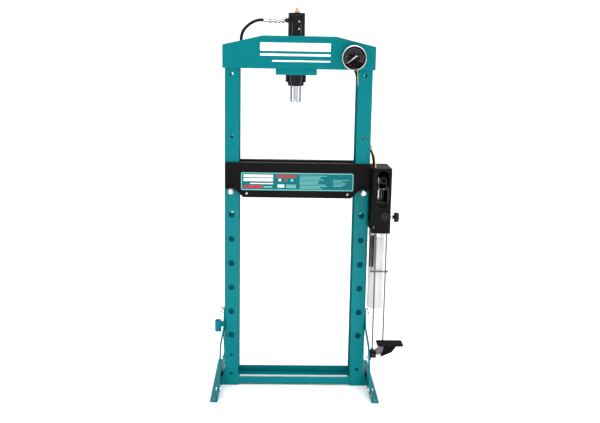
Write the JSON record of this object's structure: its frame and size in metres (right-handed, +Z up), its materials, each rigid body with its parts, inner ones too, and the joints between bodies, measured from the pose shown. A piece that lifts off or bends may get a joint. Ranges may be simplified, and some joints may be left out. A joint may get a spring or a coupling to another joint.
{
  "type": "hydraulic shop press",
  "caption": "Floor-standing H-frame hydraulic press: channel columns, pin-set bed, vertical ram with gauge, and a foot-pedal pump with hose on the right column.",
  "frame": {"origin": "on the floor midway between the columns, which is the centre of the four anchor holes", "axes": "+X to the right as seen from the front, +Y to the rear, +Z up"},
  "size_m": [0.83, 0.508, 1.66],
  "materials": {
    "teal_paint": "gloss enamel over welded steel, with slight orange peel",
    "black_paint": "semi-gloss black enamel",
    "black_oxide": "blackened steel, satin, with turned marks",
    "zinc_plate": "bright zinc plate",
    "ground_steel": "ground and hard-chromed",
    "cast_body": "painted casting",
    "spring_steel": "oiled spring wire",
    "chrome_trim": "polished",
    "dial_face": "matt black dial",
    "needle_paint": "cream",
    "gauge_glass": "clear",
    "brass_fitting": "bright drawn brass",
    "hose_rubber": "smooth black hose cover",
    "seal_rubber": "seal rubber",
    "ferrule_steel": "crimped, plated",
    "label_plate": "printed sheet, gloss",
    "bottle_plastic": "translucent natural polyethylene",
    "black_plastic": "moulded, satin",
    "grey_paint": "grey enamel"
  },
  "bodies": {
    "frame": {"left_column": "teal_paint", "right_column": "teal_paint", "header_front_plate": "teal_paint", "header_rear_plate": "teal_paint", "cylinder_block": "teal_paint", "base_bars": "teal_paint", "left_foot": "teal_paint", "right_foot": "teal_paint", "front_braces": "teal_paint", "rear_braces": "teal_paint", "brace_bolts": "zinc_plate", "handle_holder": "teal_paint", "cylinder_barrel": "black_oxide", "cylinder_cap": "black_oxide", "lower_lock_ring": "black_oxide", "upper_lock_ring": "black_oxide", "rod_gland": "black_oxide", "air_nipple": "brass_fitting", "bleed_screws": "zinc_plate", "port_adapter": "black_oxide", "coupler_plug": "zinc_plate", "coupler_body": "zinc_plate", "hose_ferrules": "ferrule_steel", "hose": "hose_rubber", "return_spring": "spring_steel", "gauge_case": "chrome_trim", "gauge_bezel": "chrome_trim", "gauge_dial": "dial_face", "gauge_lens": "gauge_glass", "gauge_fitting": "brass_fitting", "gauge_line": "brass_fitting", "pump_housing": "black_paint", "pump_bracket": "black_paint", "pump_block": "cast_body", "pump_bolts": "zinc_plate", "pivot_pins": "zinc_plate", "front_plug": "black_plastic", "reservoir": "bottle_plastic", "pull_spring": "spring_steel", "tie_rod": "zinc_plate", "pedal_bracket": "black_paint"},
    "ram": {"piston": "ground_steel", "piston_seal": "seal_rubber", "ram_rod": "ground_steel", "ram_head": "ground_steel"},
    "bed": {"front_bed_beam": "black_paint", "rear_bed_beam": "black_paint", "bed_spacers": "black_paint", "bed_bolts": "zinc_plate", "name_plate": "label_plate"},
    "left_pin": {"left_bed_pin": "zinc_plate"},
    "right_pin": {"right_bed_pin": "zinc_plate"},
    "needle": {"gauge_needle": "needle_paint"},
    "lever": {"lever_plates": "zinc_plate", "handle_socket": "zinc_plate"},
    "plunger": {"pump_plunger": "ground_steel"},
    "knob": {"release_knob": "black_plastic"},
    "link": {"pull_rod": "zinc_plate"},
    "pedal": {"pedal_arm": "grey_paint", "pedal_pad": "black_paint"}
  },
  "joints": [
    {"name": "ram_travel", "type": "slide", "parent": "frame", "child": "ram", "axis": [0, 0, -1], "range_m": [0, 0.15], "stiffness_N_per_m": 600, "springref_m": -0.25, "deforming": ["return_spring"]},
    {"name": "bed_height", "type": "slide", "parent": "frame", "child": "bed", "axis": [0, 0, 1], "range_m": [-0.654, 0]},
    {"name": "left_pin_pull", "type": "slide", "parent": "bed", "child": "left_pin", "axis": [0, -1, 0], "range_m": [0, 0.15]},
    {"name": "right_pin_pull", "type": "slide", "parent": "bed", "child": "right_pin", "axis": [0, -1, 0], "range_m": [0, 0.15]},
    {"name": "pedal_press", "type": "hinge", "parent": "frame", "child": "pedal", "pos_m": [0.342, -0.125, 0.178], "axis": [0, 1, 0], "range_deg": [0, 25]},
    {"name": "link_travel", "type": "slide", "parent": "frame", "child": "link", "axis": [0, 0, -1], "range_m": [0, 0.0206], "stiffness_N_per_m": 1200, "springref_m": -0.04, "deforming": ["pull_spring"]},
    {"name": "lever_swing", "type": "hinge", "parent": "frame", "child": "lever", "pos_m": [0.362, -0.045, 0.9], "axis": [1, 0, 0], "range_deg": [0, 20.2]},
    {"name": "plunger_stroke", "type": "slide", "parent": "frame", "child": "plunger", "axis": [0, 0, -1], "range_m": [0, 0.0106]},
    {"name": "release_turn", "type": "hinge", "parent": "frame", "child": "knob", "pos_m": [0.42, -0.09, 0.783], "axis": [1, 0, 0], "range_deg": [0, 270]},
    {"name": "needle_swing", "type": "hinge", "parent": "frame", "child": "needle", "pos_m": [0.228, -0.08, 1.454], "axis": [0, 1, 0], "range_deg": [0, 248], "stiffness_Nm_per_rad": 0.002, "springref_deg": -11.46}
  ],
  "couplings": [
    {"joint": "link_travel", "follows": "pedal_press", "m_per_rad": 0.0466},
    {"joint": "lever_swing", "follows": "pedal_press", "ratio": 0.8},
    {"joint": "plunger_stroke", "follows": "pedal_press", "m_per_rad": 0.0239}
  ]
}
